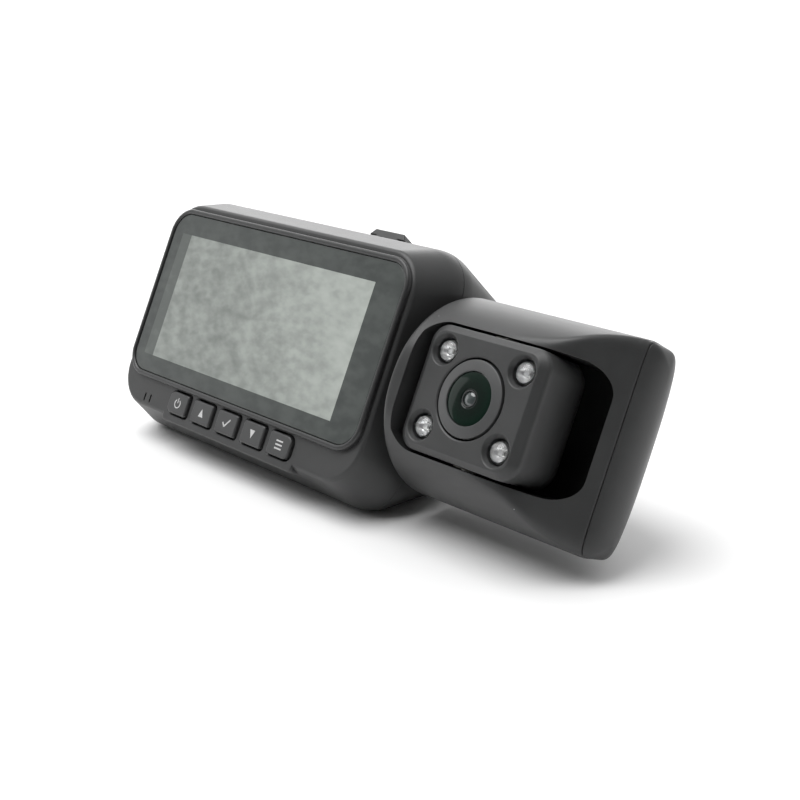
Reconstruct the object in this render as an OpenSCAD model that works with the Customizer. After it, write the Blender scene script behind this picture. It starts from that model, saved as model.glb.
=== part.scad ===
// Dash camera: a wide screen body with a road lens at its back, and beside it a barrel that
// tilts and holds a small cabin camera head that pans.
//
// The pieces are drawn upright: x runs along the body towards the barrel, y runs back from the
// front of the cover glass, z is up, and the middle of the screen is at 0, 0, 0. rest() then leans
// the whole camera back until the flat underside of the body lies on z = 0.

/* [Screen] */
// Width of the picture
screen_w = 69.6; // [66:0.1:71]
// Height of the picture
screen_h = 30.6; // [28:0.1:32]
// Width of the cover glass
glass_w = 81.5; // [80:0.1:83]
// Height of the cover glass
glass_h = 39.7; // [38:0.1:40]
// Thickness of the cover glass
glass_t = 1.4; // [1.2:0.1:1.4]
// Width of the raised bead around the glass
bezel_w = 1.2; // [0.9:0.1:1.4]
// How far the bead stands in front of the glass
bezel_lip = 0.4; // [0.2:0.1:0.8]

/* [Body] */
// Width of the flat front
face_w = 85.8; // [85:0.1:87]
// Height of the flat front
face_h = 50.3; // [50:0.1:51]
// Distance of the flat front behind the glass
face_y = 0.8; // [0.6:0.1:1]
// Depth at which the body is widest
ridge_y = 12.2; // [11.8:0.1:12.6]
// Depth of the flat back
rear_y = 32; // [31.5:0.5:34]
// Growth of each side from the front to the widest part
flare_side = 3.3; // [3:0.1:3.4]
// Growth of the top from the front to the widest part
flare_top = 4.2; // [4:0.1:4.6]
// Growth of the underside from the front to the widest part
flare_low = 4.8; // [4.5:0.1:5.2]
// Slope of the top behind its widest part, in degrees
top_slope = 19.4; // [18:0.1:20]
// Slope of the underside, on which the camera rests, in degrees
lean = 25.6; // [24:0.1:26]
// Wall of the housings
wall = 1.8; // [1.5:0.1:2]
// Thickness of the cover on the sloping top
cover_t = 1.9; // [1.6:0.1:2.2]

/* [Buttons] */
// Width of a button
button_w = 7.3; // [6.5:0.1:7.6]
// Height of a button
button_h = 5.2; // [4.5:0.1:5.4]
// Distance from one button to the next
button_pitch = 9.5; // [9.2:0.1:9.6]
// Height of the button row, from the middle of the screen
button_z = -24; // [-24.2:0.1:-23.8]
// How far a button stands out of the front
button_proud = 0.7; // [0.4:0.1:0.9]
// Gap around a button
button_gap = 0.3; // [0.2:0.05:0.35]

/* [Barrel] */
// Radius of the barrel
barrel_r = 21.5; // [21:0.1:21.6]
// Depth of the tilt axis
tilt_y = 17.8; // [17.6:0.1:18.2]
// Height of the tilt axis
tilt_z = -2.3; // [-2.5:0.1:-2.1]
// Where the barrel starts
barrel_x = 50.3; // [50.2:0.1:50.8]
// Where the end cap starts, along the flattened front
seam_x = 94.5; // [94:0.1:95]
// Wall of the barrel
barrel_wall = 1.8; // [1.6:0.1:2]
// Radius of the hollow shaft that the barrel turns on
hub_r = 6; // [5:0.1:6.2]
// Running clearance of the shaft, on the radius
hub_play = 0.05; // [0.02:0.01:0.08]

/* [Camera head] */
// Where the pan axis stands, along the body
pan_x = 69.8; // [69.6:0.1:70]
// Depth of the pan axis
pan_y = 6; // [5.8:0.1:6.2]
// Height of the middle of the head
head_z = -2; // [-2.1:0.1:-1.9]
// Radius of the drum that the head is cut from
drum_r = 16.2; // [15.9:0.1:16.3]
// Chamfer round both rims of the drum, which lets it turn in the pocket
drum_edge = 2.4; // [2.2:0.1:2.6]
// Height of the head
head_h = 25.8; // [25:0.1:26]
// Depth of the front of the head
head_y = -0.5; // [-0.7:0.1:-0.3]
// Radius of the pivot pins
pivot_r = 1.5; // [1.2:0.1:1.5]
// Running clearance of the pivot pins, on the radius
pivot_play = 0.04; // [0.02:0.01:0.08]
// Radius of an infrared lamp
lamp_r = 2.5; // [2.3:0.1:2.6]
// Distance of the lamps from the lens, sideways
lamp_x = 10; // [9.8:0.1:10.1]
// Distance of the lamps from the lens, up and down
lamp_z = 7.8; // [7.6:0.1:8]
// Radius of the ring around the cabin lens
ring_r = 7.8; // [7.4:0.1:7.9]
// Radius of the glass of the cabin lens
eye_r = 5.4; // [5:0.1:5.6]

/* [Road camera] */
// Where the road lens is, along the body
road_x = -16; // [-17:0.5:-15]
// Radius of the collar around the road lens
road_r = 12; // [10.5:0.5:12]
// How far the collar stands out of the back
road_out = 3.5; // [2.5:0.5:4]

/* [Hidden] */
$fn = 64;

// Body outline
face_x = 2.4;
face_z = -2.2;
face_left = face_x - face_w / 2;
face_right = face_x + face_w / 2;
face_low = face_z - face_h / 2;
face_high = face_z + face_h / 2;
side_taper = 1.8;
face_round = 8.6;
ridge_round = 9.5;
rear_round = 6.3;
part_y = ridge_y;
front_t = 2.2;
crest_flat = 1;
slack = 0.1;

// Screen parts
glass_x = 2.4;
glass_z = 0.45;
glass_round = 5;

// Depths inside the body
lcd_y = glass_t + 0.1;
tray_y = 4.65;
frame_y = 5.2;
board_y = 12;
board_t = 1.2;
board_back = board_y + board_t;
post_r = 2.6;
posts = [[-34, 13], [-34, -16.5], [39, 13], [39, -16.5]];
screw_seat = 17;

// Sockets in the left wall
card_z = -6.6;
card_y = board_back + 1.05;
card_size = [15, 0.8, 11];
usb_z = 5.4;
usb_size = [7.2, 3.2, 9];
usb_y = board_back + 0.05 + usb_size[1] / 2;

// Button row
button_x = 2.9;
flange_y = face_y + front_t + 0.05;
flange_t = 0.7;
switch_y = 7.4;

// Barrel outline, seen from above: three arcs that run into each other
bend_c = [77.9, 14.4];
bend_r = 12.2;
bend_start = -80;
seam_turn = -45;
nose_r = 8.5;
nose_end = 24;
nose_c = [seam_x + nose_r * cos(180 - seam_turn), 14.2 - nose_r * sin(seam_turn)];
tail_r = (tilt_y + barrel_r - nose_c[1] - nose_r * sin(nose_end)) / (1 - sin(nose_end));
tail_c = nose_c + (nose_r - tail_r) * [cos(nose_end), sin(nose_end)];
nose_x = nose_c[0] + nose_r;
edge_round = 9;
end_chamfer = 1.5;
end_wall = 2.9;
boss_r = 9.1;
boss_x = 43.3;
boss_end = 49.2;
flange_r = 10;
groove_x = 42.3;

// Pocket that the head turns in
pocket_left = 53.2;
pocket_right = 92.4;
pocket_h = head_h + 1.2;
pocket_y = 23.5;
pocket_round = 5.5;
pocket_wall = 1.4;

head_half_w = 15.5;
head_round = 4;
head_rim = 0.6;
head_wall = 1.5;
head_split = 17.5;
head_high = head_z + head_h / 2;
head_low = head_z - head_h / 2;
pivot_top = 12.9;
pivot_foot = -17.6;

shell_grey = [0.16, 0.165, 0.17];
inner_grey = [0.1, 0.1, 0.11];
board_green = [0.06, 0.22, 0.13];
steel = [0.72, 0.73, 0.75];

// Outline of the upright body at one depth, shrunk by t:
// [depth, left, right, low, high, corner radius]
function at_depth(y, front, ridge, rear) =
    lookup(y, [[face_y, front], [ridge_y, ridge], [rear_y, rear]]);
function body_low(y) = at_depth(
    y, face_low, face_low - flare_low, face_low - flare_low + (rear_y - ridge_y) * tan(lean));
function body_high(y) = at_depth(
    y, face_high, face_high + flare_top, face_high + flare_top - (rear_y - ridge_y) * tan(top_slope));
function body_side(y) = at_depth(y, 0, flare_side, flare_side - side_taper);
function body_ring(y, t) = [
    y, face_left - body_side(y) + t, face_right + body_side(y) - t,
    body_low(y) + t, body_high(y) - t, at_depth(y, face_round, ridge_round, rear_round) - t
];

// Points of a rounded rectangle, then the ring of them at a ring's depth
function rounded_points(left, right, low, high, r, n) = [
    for (c = [0:3], i = [0:n])
        let (a = 90 * (c + i / n))
        [(c == 0 || c == 3 ? right - r : left + r) + r * cos(a),
         (c < 2 ? high - r : low + r) + r * sin(a)]
];
function ring_points(ring) = [
    for (p = rounded_points(ring[1], ring[2], ring[3], ring[4], ring[5], 10))
        [p[0], ring[0], p[1]]
];
function arc(c, r, from, to, n) = [
    for (i = [0:n]) c + r * [cos(from + (to - from) * i / n), sin(from + (to - from) * i / n)]
];

// Leans the upright camera back onto its underside
rest_y = (ridge_y + crest_flat + rear_y) / 2;
module rest() {
    rotate([-lean, 0, 0])
        translate([-face_x, -rest_y, -body_low(rest_y)])
            children();
}

// Solid through a row of rings, front to back
module loft(rings) {
    count = len(ring_points(rings[0]));
    last = (len(rings) - 1) * count;
    polyhedron(
        points = [for (ring = rings) each ring_points(ring)],
        faces = concat(
            [[for (i = [0:count - 1]) count - 1 - i]],
            [[for (i = [0:count - 1]) last + i]],
            [for (k = [0:len(rings) - 2], i = [0:count - 1])
                let (j = (i + 1) % count, a = k * count, b = a + count)
                each [[a + i, a + j, b + i], [a + j, b + j, b + i]]]
        )
    );
}
module body_form(from, to, t) {
    depths = [for (y = [from, ridge_y - crest_flat, ridge_y + crest_flat, to])
        if (y >= from && y <= to) y];
    loft([for (y = depths) body_ring(y, t)]);
}

module rounded(left, right, low, high, r) {
    translate([left + r, low]) square([right - left - 2 * r, high - low]);
    translate([left, low + r]) square([right - left, high - low - 2 * r]);
    for (x = [left + r, right - r], z = [low + r, high - r])
        translate([x, z]) circle(r);
}
// Flat plate that faces the front
module plate(left, right, low, high, r, front, back) {
    translate([0, back, 0])
        rotate([90, 0, 0])
            linear_extrude(back - front)
                rounded(left, right, low, high, r);
}
module screen_plate(w, h, r, front, back, x = 0, z = 0) {
    plate(x - w / 2, x + w / 2, z - h / 2, z + h / 2, r, front, back);
}
module block(from, to) {
    translate(from) cube(to - from);
}
// Round pieces along the depth and along the body
module depth_rod(x, z, r, front, back) {
    translate([x, front, z]) rotate([-90, 0, 0]) cylinder(r = r, h = back - front);
}
module depth_cone(x, z, r_front, r_back, front, back) {
    translate([x, front, z])
        rotate([-90, 0, 0])
            cylinder(r1 = r_front, r2 = r_back, h = back - front);
}
module tilt_rod(r, from, to) {
    translate([from, tilt_y, tilt_z]) rotate([0, 90, 0]) cylinder(r = r, h = to - from);
}
module pan_rod(r, from, to) {
    translate([pan_x, pan_y, from]) cylinder(r = r, h = to - from);
}
// Everything more than t under the sloping top, behind the ridge
module under_top(t) {
    start = ridge_y + 3;
    translate([-60, start, body_high(start)])
        rotate([-top_slope, 0, 0])
            translate([0, -40, -80 - t])
                cube([120, 120, 80]);
}
module behind(y) {
    translate([-60, y, -60]) cube([120, 80, 120]);
}

// ---- Screen body ----

module button_window(i) {
    x = button_x + (i - 2) * button_pitch;
    screen_plate(
        button_w + 2 * button_gap, button_h + 2 * button_gap, 0.8,
        face_y - 1, face_y + front_t + 1, x, button_z
    );
}

module front_housing() {
    color(shell_grey)
        difference() {
            union() {
                body_form(face_y, part_y, 0);
                intersection() {
                    block([-21.5, face_y, face_low - 1.6], [27.3, 4, face_low + 2]);
                    body_form(face_y - 0.5, part_y, -1.6);
                }
            }
            body_form(face_y + front_t, part_y + 1, wall);
            behind(part_y);
            screen_plate(
                glass_w + 2 * slack, glass_h + 2 * slack, glass_round + slack,
                -2, lcd_y, glass_x, glass_z
            );
            screen_plate(screen_w + 4, screen_h + 4, 1, 0, face_y + front_t + 1);
            for (i = [0:4]) button_window(i);
            for (x = [-30, -27.8])
                screen_plate(0.5, 2, 0.2, 0, face_y + front_t + 1, x, button_z - 1.4);
            tilt_rod(boss_r + 0.1, boss_x - 1, boss_end + 1);
        }
}

module rear_housing() {
    color(shell_grey)
        difference() {
            union() {
                difference() {
                    body_form(part_y, rear_y, 0);
                    body_form(part_y - 1, rear_y - wall, wall);
                }
                tilt_rod(boss_r, boss_x, boss_end);
                for (p = posts) depth_rod(p[0], p[1], post_r + 0.2, board_back + 0.05, rear_y - 1);
            }
            difference() {
                behind(ridge_y + 3);
                under_top(cover_t);
            }
            tilt_rod(hub_r + hub_play, boss_x - 1, boss_end + 1);
            depth_rod(road_x, 0, 8.5, rear_y - 5, rear_y + 1);
            for (p = posts) {
                depth_rod(p[0], p[1], 2.1, screw_seat, rear_y + 1);
                depth_rod(p[0], p[1], 0.9, board_back - 1, screw_seat + 1);
            }
            card_mouth();
            usb_mouth();
            for (i = [-2:2])
                screen_plate(1.2, 13, 0.5, rear_y - 3, rear_y + 1, 28 + i * 2.8, 3);
            for (i = [0:5])
                screen_plate(1.2, 8, 0.5, rear_y - 3, rear_y + 1, 2 + i * 2.8, -9);
        }
}
module card_mouth() {
    block([-50, card_y - 0.65, card_z - 5.8], [-38, card_y + 0.65, card_z + 5.8]);
}
module usb_mouth() {
    mouth = [12, usb_size[1] + 0.6, usb_size[2] + 0.6];
    translate([-44, usb_y, usb_z]) cube(mouth, center = true);
}

module top_cover() {
    color(shell_grey)
        difference() {
            body_form(part_y, rear_y, 0);
            under_top(cover_t - 0.1);
            translate([-60, 0, -60]) cube([120, ridge_y + 3.05, 120]);
        }
}

module mount_rail() {
    rail_x = 17;
    start = ridge_y + 3.3;
    rail_l = 13;
    color(inner_grey)
        translate([rail_x, start, body_high(start)])
            rotate([-top_slope, 0, 0])
                translate([0, rail_l, 0])
                    rotate([90, 0, 0])
                        linear_extrude(rail_l)
                            polygon([
                                [-3.5, 0], [3.5, 0], [3.5, 1.5], [5.8, 1.5],
                                [4.7, 3.2], [-4.7, 3.2], [-5.8, 1.5], [-3.5, 1.5]
                            ]);
}

module screen_bezel() {
    color(shell_grey)
        difference() {
            screen_plate(
                glass_w + 2 * bezel_w + 2 * slack, glass_h + 2 * bezel_w + 2 * slack,
                glass_round + bezel_w, -bezel_lip, face_y, glass_x, glass_z
            );
            screen_plate(
                glass_w + 2 * slack, glass_h + 2 * slack, glass_round + slack,
                -2, face_y + 1, glass_x, glass_z
            );
        }
}

module cover_glass() {
    color([0.2, 0.22, 0.21])
        screen_plate(glass_w, glass_h, glass_round, 0, glass_t, glass_x, glass_z);
}

module lcd_panel() {
    color([0.5, 0.53, 0.49])
        screen_plate(screen_w + 2.6, screen_h + 2.8, 0.5, lcd_y, lcd_y + 1.5);
}

module backlight() {
    color([0.93, 0.93, 0.9])
        screen_plate(screen_w + 3, screen_h + 3.2, 0.5, lcd_y + 1.55, lcd_y + 3.1);
}

module display_tray() {
    color(steel)
        screen_plate(screen_w + 5, screen_h + 5, 1, tray_y, tray_y + 0.4);
}

module mid_frame() {
    color(inner_grey)
        difference() {
            union() {
                plate(-39.8, 44.6, -19.3, 21.8, 6.5, frame_y, frame_y + 1.2);
                for (p = posts) depth_rod(p[0], p[1], post_r, frame_y, board_y - 0.05);
            }
            for (p = posts) depth_rod(p[0], p[1], 0.8, frame_y + 1.5, board_y + 1);
            screen_plate(30, 16, 3, frame_y - 1, frame_y + 3);
        }
}

module main_board() {
    color(board_green)
        difference() {
            plate(-38.3, 40.8, -20, 19, 2, board_y, board_back);
            for (p = posts) depth_rod(p[0], p[1], 1.1, board_y - 1, board_back + 1);
        }
}

module processor() {
    color(inner_grey)
        screen_plate(14, 14, 0.3, board_back + 0.02, board_back + 1.2, 12, 3);
}

module memory_chips() {
    color(inner_grey)
        for (z = [-2, 9.5])
            screen_plate(10, 8, 0.3, board_back + 0.02, board_back + 1, -2, z);
}

module heat_spreader() {
    color([0.6, 0.61, 0.63])
        difference() {
            screen_plate(26, 24, 1, board_back + 1.25, board_back + 5, 10, 4);
            for (i = [0:5])
                block([-1.4 + i * 4, board_back + 2.6, -20], [1 + i * 4, board_back + 6, 20]);
        }
}

module button_board() {
    color(board_green)
        plate(-20.5, 26.5, -27.8, -20.4, 1, switch_y, switch_y + 1);
}

module tact_switches() {
    color(steel)
        for (i = [0:4]) {
            x = button_x + (i - 2) * button_pitch;
            screen_plate(4.4, 4.4, 0.3, switch_y - 1.8, switch_y - 0.02, x, button_z);
            depth_rod(x, button_z, 1.1, flange_y + flange_t + 0.6, switch_y - 1.5);
        }
}

// Cap with a flange behind the front wall; soft_left or soft_right rounds that end of the row
module button(i, soft_left = false, soft_right = false) {
    x = button_x + (i - 2) * button_pitch;
    left = x - button_w / 2;
    right = x + button_w / 2;
    low = button_z - button_h / 2;
    high = button_z + button_h / 2;
    front = face_y - button_proud;
    middle = x + (soft_left ? 1 : soft_right ? -1 : 0);
    color(shell_grey)
        union() {
            plate(left, right, low, high, soft_left || soft_right ? 1.7 : 0.6, front, flange_y);
            if (soft_left) plate(middle, right, low, high, 0.6, front, flange_y);
            if (soft_right) plate(left, middle, low, high, 0.6, front, flange_y);
            block([left - 0.8, flange_y, low + 0.5], [right + 0.8, flange_y + flange_t, high + 0.7]);
        }
}
module power_button() { button(0, soft_left = true); }
module up_button() { button(1); }
module select_button() { button(2); }
module down_button() { button(3); }
module menu_button() { button(4, soft_right = true); }

module speaker() {
    color(inner_grey)
        union() {
            depth_rod(28, 3, 8.5, rear_y - wall - 2.2, rear_y - wall - 0.1);
            depth_rod(28, 3, 5, rear_y - wall - 4.2, rear_y - wall - 2);
        }
}

module microphone() {
    color(steel)
        depth_rod(-28.9, button_z, 1.9, face_y + front_t + 0.05, face_y + front_t + 1.5);
}

module supercapacitors() {
    color([0.12, 0.16, 0.3])
        for (c = [[18.6, -18], [25.8, -14.2]])
            translate([-29, c[0], c[1]]) rotate([0, 90, 0]) cylinder(r = 3.9, h = 22);
}

module card_socket() {
    depth = card_size[1] + 0.3;
    color(steel)
        difference() {
            block(
                [-37.5, board_back + 0.02, card_z - card_size[2] / 2 - 1],
                [-24.5, board_back + 2, card_z + card_size[2] / 2 + 1]
            );
            block(
                [-40, card_y - depth / 2, card_z - card_size[2] / 2 - 0.15],
                [-26, card_y + depth / 2, card_z + card_size[2] / 2 + 0.15]
            );
        }
}

module memory_card() {
    low = card_z - card_size[2] / 2;
    color(inner_grey)
        translate([-43.3, card_y - card_size[1] / 2, low])
            difference() {
                cube(card_size);
                translate([9, -1, card_size[2] - 1]) cube([8, 3, 2]);
            }
}

module usb_port() {
    shell = 0.4;
    color(steel)
        translate([-43, usb_y - usb_size[1] / 2, usb_z - usb_size[2] / 2])
            difference() {
                cube(usb_size);
                translate([-1, shell, shell])
                    cube(usb_size - [0, 2 * shell, 2 * shell]);
            }
}

module usb_tongue() {
    color(inner_grey)
        block([-42.2, usb_y - 0.35, usb_z - 3.2], [-36.85, usb_y + 0.35, usb_z + 3.2]);
}

// ---- Road camera ----

module road_lens_ring() {
    color(inner_grey)
        difference() {
            union() {
                depth_rod(road_x, 0, road_r, rear_y, rear_y + road_out - 1);
                depth_cone(road_x, 0, road_r, road_r - 1, rear_y + road_out - 1, rear_y + road_out);
                depth_rod(road_x, 0, 8.4, rear_y - 4, rear_y + 1);
            }
            depth_rod(road_x, 0, 7.1, rear_y - 5, rear_y + road_out + 1);
            depth_cone(road_x, 0, 7, 10, rear_y + road_out - 1.8, rear_y + road_out + 0.01);
        }
}

module road_lens_barrel() {
    color(inner_grey)
        difference() {
            union() {
                depth_rod(road_x, 0, 7, 21, rear_y + 1.8);
                screen_plate(17, 17, 1, board_back + 4.1, 21.5, road_x, 0);
            }
            depth_rod(road_x, 0, 5.6, rear_y - 2, rear_y + 4);
            depth_rod(road_x, 0, 3.4, board_back + 3, rear_y);
        }
}

module road_lens_glass() {
    curve_r = 12;
    color([0.03, 0.06, 0.06])
        intersection() {
            depth_rod(road_x, 0, 5.5, rear_y - 0.6, rear_y + 4);
            translate([road_x, rear_y + 2.2 - curve_r, 0]) sphere(curve_r);
        }
}

module road_lens_core() {
    color([0.12, 0.15, 0.2])
        depth_rod(road_x, 0, 3.3, rear_y - 8, rear_y - 2.1);
}

module road_sensor_board() {
    color(board_green)
        screen_plate(20, 19, 1, board_back + 2.9, board_back + 4, road_x, 0);
}

module case_screws() {
    color(steel)
        for (p = posts)
            difference() {
                union() {
                    depth_rod(p[0], p[1], 1.9, screw_seat + 0.02, screw_seat + 1.4);
                    depth_rod(p[0], p[1], 0.78, frame_y + 2, screw_seat + 0.5);
                }
                translate([p[0] - 1.4, screw_seat + 0.8, p[1] - 0.25]) cube([2.8, 2, 0.5]);
                translate([p[0] - 0.25, screw_seat + 0.8, p[1] - 1.4]) cube([0.5, 2, 2.8]);
            }
}

// ---- Barrel ----

// Outline of the barrel from above, shrunk by t
module barrel_plan(t) {
    bend = arc(bend_c, bend_r - t, bend_start, seam_turn, 8);
    nose = arc(nose_c, nose_r - t, seam_turn, nose_end, 12);
    tail = arc(tail_c, tail_r - t, nose_end, 90, 12);
    front = bend[0] - 20 * [cos(90 + bend_start), sin(90 + bend_start)];
    back = [[tail[12][0], 60], [barrel_x - 5, 60], [barrel_x - 5, -20], [front[0], -20]];
    polygon(concat([front], bend, nose, tail, back));
}
module barrel_form(t, from) {
    r = barrel_r - t;
    chamfer = end_chamfer;
    intersection() {
        translate([from, tilt_y, tilt_z])
            rotate([0, 90, 0])
                rotate_extrude()
                    polygon([[0, 0], [r - chamfer, 0], [r, chamfer], [r, 60], [0, 60]]);
        translate([0, 0, -60]) linear_extrude(120) barrel_plan(t);
        plate(0, nose_x - t, tilt_z - r, tilt_z + r, edge_round - t, -40, 60);
    }
}
module pocket(t) {
    intersection() {
        plate(
            pocket_left - t - 0.5, pocket_right + t, head_z - pocket_h / 2 - t,
            head_z + pocket_h / 2 + t, pocket_round + t, -10, pocket_y + t
        );
        translate([0, 0, -60])
            linear_extrude(120)
                union() {
                    translate([pan_x, pan_y]) circle(pan_x - pocket_left + t);
                    translate([pocket_left - t, -12]) square([60, pan_y + 12]);
                    translate([pan_x, -12]) square([60, 60]);
                }
    }
}

module barrel_housing() {
    color(shell_grey)
        difference() {
            union() {
                difference() {
                    barrel_form(0, barrel_x);
                    barrel_form(barrel_wall, barrel_x + end_wall);
                }
                intersection() {
                    barrel_form(0, barrel_x);
                    pocket(pocket_wall);
                }
                intersection() {
                    barrel_form(0.5, barrel_x);
                    pan_rod(3.6, head_low - 6, head_high + 6);
                }
            }
            pocket(0);
            translate([seam_x, -60, -60]) cube(120);
            tilt_rod(flange_r + 0.05, barrel_x - 1, barrel_x + 1.6);
            tilt_rod(3.5, barrel_x, barrel_x + end_wall + 1);
            pan_rod(pivot_r + pivot_play, pivot_foot - 0.1, pivot_top + 0.1);
        }
}

module barrel_end_cap() {
    color(shell_grey)
        difference() {
            union() {
                intersection() {
                    barrel_form(0, barrel_x);
                    translate([seam_x + 0.1, -60, -60]) cube(120);
                }
                intersection() {
                    barrel_form(barrel_wall + 0.1, barrel_x);
                    translate([seam_x - 1.5, -60, -60]) cube(120);
                }
            }
            intersection() {
                barrel_form(barrel_wall + 1.3, barrel_x);
                translate([seam_x - 3, -60, -60]) cube([4, 120, 120]);
            }
            pocket(pocket_wall + 0.1);
        }
}

module tilt_hub() {
    color(inner_grey)
        difference() {
            union() {
                tilt_rod(flange_r, barrel_x + 0.05, barrel_x + 1.55);
                tilt_rod(hub_r, groove_x - 1.1, barrel_x + 1);
            }
            tilt_rod(3.5, groove_x - 2, barrel_x + 3);
            difference() {
                tilt_rod(hub_r + 1, groove_x, groove_x + 0.8);
                tilt_rod(hub_r - 0.8, groove_x - 1, groove_x + 2);
            }
            hub_holes(0.75);
        }
}
module hub_holes(r) {
    for (a = [90, 210, 330])
        translate([barrel_x - 1, tilt_y + 8 * cos(a), tilt_z + 8 * sin(a)])
            rotate([0, 90, 0])
                cylinder(r = r, h = 4);
}

module hub_screws() {
    color(steel)
        difference() {
            hub_holes(0.7);
            tilt_rod(20, barrel_x - 2, barrel_x + 0.1);
            tilt_rod(20, barrel_x + 1.55, barrel_x + 6);
        }
}

module tilt_washer() {
    color(steel)
        difference() {
            tilt_rod(8.8, boss_end + 0.15, barrel_x - 0.15);
            tilt_rod(hub_r + 0.15, boss_end - 1, barrel_x + 1);
        }
}

module hub_clip() {
    color(steel)
        difference() {
            tilt_rod(7.9, groove_x + 0.08, groove_x + 0.72);
            tilt_rod(hub_r - 0.75, groove_x - 1, groove_x + 2);
            translate([groove_x - 1, tilt_y - 3, tilt_z - 20]) cube([3, 6, 20]);
        }
}

// ---- Cabin camera head ----

module head_form(t, front) {
    intersection() {
        hull() {
            pan_rod(drum_r - drum_edge - t, head_low + t, head_high - t);
            pan_rod(drum_r - t, head_low + drum_edge + t, head_high - drum_edge - t);
        }
        screen_plate(
            2 * (head_half_w - t), head_h - 2 * t, head_round - t, front, 60, pan_x, head_z
        );
    }
}
module head_shell() {
    color(shell_grey)
        difference() {
            union() {
                head_form(0, head_y + head_rim);
                intersection() {
                    head_form(0, head_y);
                    screen_plate(
                        2 * (head_half_w - 1.1), head_h - 2 * head_rim, head_round - head_rim,
                        head_y, head_y + 1, pan_x, head_z
                    );
                }
            }
            head_form(head_wall, head_y + 1.8);
            behind_head();
            depth_rod(pan_x, head_z, ring_r + 0.35, -5, 6);
            for (sx = [-1, 1], sz = [-1, 1]) {
                x = pan_x + sx * lamp_x;
                z = head_z + sz * lamp_z;
                depth_rod(x, z, lamp_r + 0.15, -5, 6);
                depth_cone(x, z, lamp_r + 0.85, lamp_r + 0.15, head_y - 0.01, head_y + 1.1);
            }
            pan_rod(pivot_r + 0.01, head_low - 5, head_high + 5);
        }
}
module behind_head() {
    translate([pan_x - 30, head_split, -60]) cube([60, 60, 120]);
}

module head_back() {
    color(shell_grey)
        difference() {
            intersection() {
                head_form(0, head_y);
                translate([0, 0.05, 0]) behind_head();
            }
            head_form(head_wall, head_y);
            depth_rod(pan_x, head_z, 2, head_split, 40);
        }
}

module head_pivots() {
    color(steel)
        union() {
            pan_rod(pivot_r, head_high - 3, pivot_top);
            pan_rod(pivot_r, pivot_foot, head_low + 3);
        }
}

module pivot_washers() {
    color(steel)
        difference() {
            union() {
                pan_rod(3.2, head_high + 0.05, head_high + 0.35);
                pan_rod(3.2, head_low - 0.35, head_low - 0.05);
            }
            pan_rod(pivot_r + 0.05, head_low - 5, head_high + 5);
        }
}

module cabin_lens_ring() {
    color([0.24, 0.245, 0.25])
        difference() {
            depth_rod(pan_x, head_z, ring_r, head_y + 0.1, 3);
            depth_rod(pan_x, head_z, eye_r + 0.05, -5, 4);
            depth_cone(pan_x, head_z, ring_r - 0.5, eye_r + 0.1, head_y + 0.09, head_y + 0.9);
        }
}

module cabin_lens_glass() {
    curve_r = 20;
    color([0.02, 0.06, 0.05])
        intersection() {
            depth_rod(pan_x, head_z, eye_r, -1, 1.4);
            translate([pan_x, 0.2 + curve_r, head_z]) sphere(curve_r, $fn = 180);
        }
}

module cabin_lens_core() {
    color([0.3, 0.32, 0.3])
        intersection() {
            depth_rod(pan_x, head_z, 1.9, 1.5, 7);
            translate([pan_x, 5.5, head_z]) sphere(4);
        }
}

module cabin_lens_barrel() {
    color(inner_grey)
        difference() {
            union() {
                depth_rod(pan_x, head_z, 6.9, 3.05, 9);
                screen_plate(16, 16, 1, 9, 12.4, pan_x, head_z);
            }
            depth_rod(pan_x, head_z, 2, 3, 13);
        }
}

module cabin_sensor_board() {
    color(board_green)
        screen_plate(20, 18, 1, 12.45, 13.5, pan_x, head_z);
}

module ir_leds() {
    color([0.85, 0.87, 0.88])
        for (sx = [-1, 1], sz = [-1, 1])
            translate([pan_x + sx * lamp_x, head_y + lamp_r + 0.2, head_z + sz * lamp_z])
                rotate([-90, 0, 0])
                    union() {
                        sphere(lamp_r);
                        cylinder(r = lamp_r, h = 2.3);
                    }
}

module ir_board() {
    color(board_green)
        difference() {
            screen_plate(26, 21.6, 2, 4.65, 5.6, pan_x, head_z);
            depth_rod(pan_x, head_z, 7.1, 4, 7);
            block([pan_x - 2, 4, head_high - 3.5], [pan_x + 2, 7, head_high]);
            block([pan_x - 2, 4, head_low], [pan_x + 2, 7, head_low + 3.5]);
        }
}

rest() front_housing();
rest() rear_housing();
rest() top_cover();
rest() mount_rail();
rest() screen_bezel();
rest() cover_glass();
rest() lcd_panel();
rest() backlight();
rest() display_tray();
rest() mid_frame();
rest() main_board();
rest() processor();
rest() memory_chips();
rest() heat_spreader();
rest() button_board();
rest() tact_switches();
rest() power_button();
rest() up_button();
rest() select_button();
rest() down_button();
rest() menu_button();
rest() speaker();
rest() microphone();
rest() supercapacitors();
rest() card_socket();
rest() memory_card();
rest() usb_port();
rest() usb_tongue();
rest() road_lens_ring();
rest() road_lens_barrel();
rest() road_lens_glass();
rest() road_lens_core();
rest() road_sensor_board();
rest() case_screws();
rest() barrel_housing();
rest() barrel_end_cap();
rest() tilt_hub();
rest() hub_screws();
rest() tilt_washer();
rest() hub_clip();
rest() head_shell();
rest() head_back();
rest() head_pivots();
rest() pivot_washers();
rest() cabin_lens_ring();
rest() cabin_lens_glass();
rest() cabin_lens_core();
rest() cabin_lens_barrel();
rest() cabin_sensor_board();
rest() ir_leds();
rest() ir_board();
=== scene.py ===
import math

import bmesh
import bpy
from mathutils import Matrix, Vector


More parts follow.
